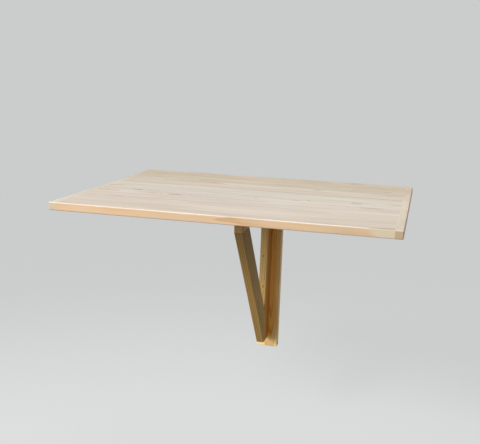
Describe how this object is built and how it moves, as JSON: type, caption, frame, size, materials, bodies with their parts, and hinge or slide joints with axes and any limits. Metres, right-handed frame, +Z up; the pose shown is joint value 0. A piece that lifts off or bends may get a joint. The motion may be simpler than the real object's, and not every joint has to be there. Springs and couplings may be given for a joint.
{
  "type": "wall mounted drop leaf table",
  "caption": "Pine wall table whose hinged leaf rests on a triangular gate bracket that swings on a wall post and folds flat, so that the leaf can be lowered.",
  "frame": {"origin": "middle of the wall ledger's back face, on the wall, midway between its two fixing holes", "axes": "+X along the wall to the right, +Y into the wall, +Z up"},
  "size_m": [0.75, 0.6, 0.487],
  "materials": {
    "pine_top": "planed pine, clear satin",
    "pine_frame": "planed pine, clear satin",
    "beech_dowel": "turned beech",
    "zinc_plated_steel": "pressed steel, zinc plated"
  },
  "bodies": {
    "wall_frame": {"gate_hinge_lower_pin": "zinc_plated_steel", "gate_hinge_lower_post_plate": "zinc_plated_steel", "gate_hinge_post_screws": "zinc_plated_steel", "gate_hinge_upper_pin": "zinc_plated_steel", "gate_hinge_upper_post_plate": "zinc_plated_steel", "ledge_board": "pine_top", "ledge_dowels": "beech_dowel", "ledge_end_strip_left": "pine_top", "ledge_end_strip_right": "pine_top", "post_dowels": "beech_dowel", "top_hinge_centre_ledge_plate": "zinc_plated_steel", "top_hinge_centre_pin": "zinc_plated_steel", "top_hinge_ledge_screws": "zinc_plated_steel", "top_hinge_left_ledge_plate": "zinc_plated_steel", "top_hinge_left_pin": "zinc_plated_steel", "top_hinge_right_ledge_plate": "zinc_plated_steel", "top_hinge_right_pin": "zinc_plated_steel", "wall_ledger": "pine_frame", "wall_post": "pine_frame"},
    "leaf": {"leaf_end_strip_left": "pine_top", "leaf_end_strip_right": "pine_top", "leaf_stave_front": "pine_top", "leaf_stave_middle_1": "pine_top", "leaf_stave_middle_2": "pine_top", "leaf_stave_middle_3": "pine_top", "leaf_stave_rear": "pine_top", "rest_block": "pine_frame", "rest_block_screws": "zinc_plated_steel", "top_hinge_centre_leaf_plate": "zinc_plated_steel", "top_hinge_leaf_screws": "zinc_plated_steel", "top_hinge_left_leaf_plate": "zinc_plated_steel", "top_hinge_right_leaf_plate": "zinc_plated_steel"},
    "gate": {"gate_arm": "pine_frame", "gate_brace": "pine_frame", "gate_dowels": "beech_dowel", "gate_hinge_gate_screws": "zinc_plated_steel", "gate_hinge_lower_gate_plate": "zinc_plated_steel", "gate_hinge_upper_gate_plate": "zinc_plated_steel", "gate_stile": "pine_frame"}
  },
  "joints": [
    {"name": "gate_swing", "type": "hinge", "parent": "wall_frame", "child": "gate", "pos_m": [-0.0208, -0.0228, -0.2], "axis": [0, 0, -1], "range_deg": [0, 90]},
    {"name": "leaf_lift", "type": "hinge", "parent": "wall_frame", "child": "leaf", "pos_m": [0, -0.061, 0.0262], "axis": [-1, 0, 0], "range_deg": [0, 4]}
  ]
}
